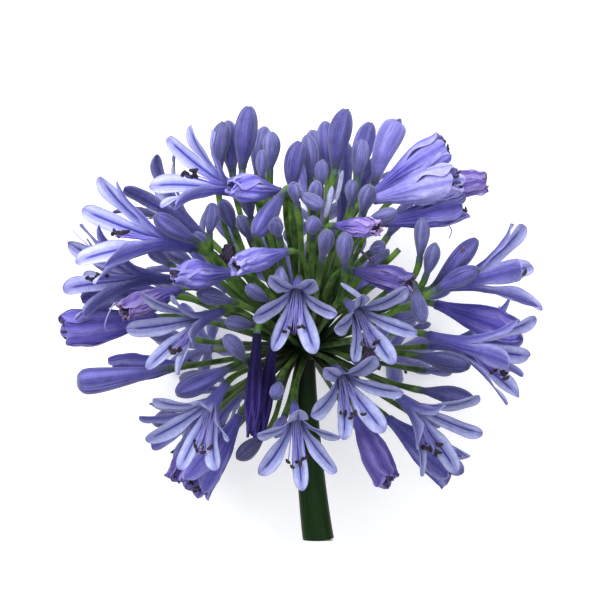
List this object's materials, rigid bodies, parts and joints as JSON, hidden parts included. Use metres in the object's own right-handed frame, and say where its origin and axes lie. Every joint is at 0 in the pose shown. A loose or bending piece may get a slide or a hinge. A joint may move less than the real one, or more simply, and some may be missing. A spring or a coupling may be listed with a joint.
{
  "type": "agapanthus flower head",
  "caption": "Cut agapanthus umbel lying on its lowest florets: a green scape, radiating pedicels, blue-violet funnel florets, closing and faded florets, and club-shaped buds.",
  "frame": {"origin": "on the surface that the head lies on, under the middle of its box", "axes": "+Z up from the surface, towards the side of the head that the picture shows; +Y from the cut scape to the crown of the umbel; +X to the right as seen from above with +Y upward"},
  "size_m": [0.1935, 0.1729, 0.1674],
  "materials": {
    "green": "smooth, slightly waxy green stalk",
    "open": "soft matte petal, pale blue-violet with a darker line along the middle",
    "closing": "soft matte petal, deeper violet",
    "faded": "wilted petal, crumpled, purple",
    "bud": "smooth ridged bud, blue-violet with a greyish tip"
  },
  "bodies": {
    "root": {"bud_01": "bud", "bud_02": "bud", "bud_03": "bud", "bud_04": "bud", "bud_05": "bud", "bud_06": "bud", "bud_07": "bud", "bud_08": "bud", "bud_09": "bud", "bud_10": "bud", "bud_11": "bud", "bud_12": "bud", "bud_13": "bud", "bud_14": "bud", "bud_15": "bud", "closing_floret_01": "closing", "closing_floret_02": "closing", "closing_floret_03": "closing", "closing_floret_04": "closing", "closing_floret_05": "closing", "closing_floret_06": "closing", "closing_floret_07": "closing", "closing_floret_08": "closing", "closing_floret_09": "closing", "closing_floret_10": "closing", "closing_floret_11": "closing", "faded_floret_01": "faded", "faded_floret_02": "faded", "faded_floret_03": "faded", "faded_floret_04": "faded", "faded_floret_05": "faded", "faded_floret_06": "faded", "faded_floret_07": "faded", "faded_floret_08": "faded", "faded_floret_09": "faded", "open_floret_01": "open", "open_floret_02": "open", "open_floret_03": "open", "open_floret_04": "open", "open_floret_05": "open", "open_floret_06": "open", "open_floret_07": "open", "open_floret_08": "open", "open_floret_09": "open", "open_floret_10": "open", "open_floret_11": "open", "open_floret_12": "open", "open_floret_13": "open", "open_floret_14": "open", "open_floret_15": "open", "open_floret_16": "open", "open_floret_17": "open", "open_floret_18": "open", "open_floret_19": "open", "open_floret_20": "open", "open_floret_21": "open", "open_floret_22": "open", "open_floret_23": "open", "scape_and_pedicels": "green"}
  },
  "joints": []
}
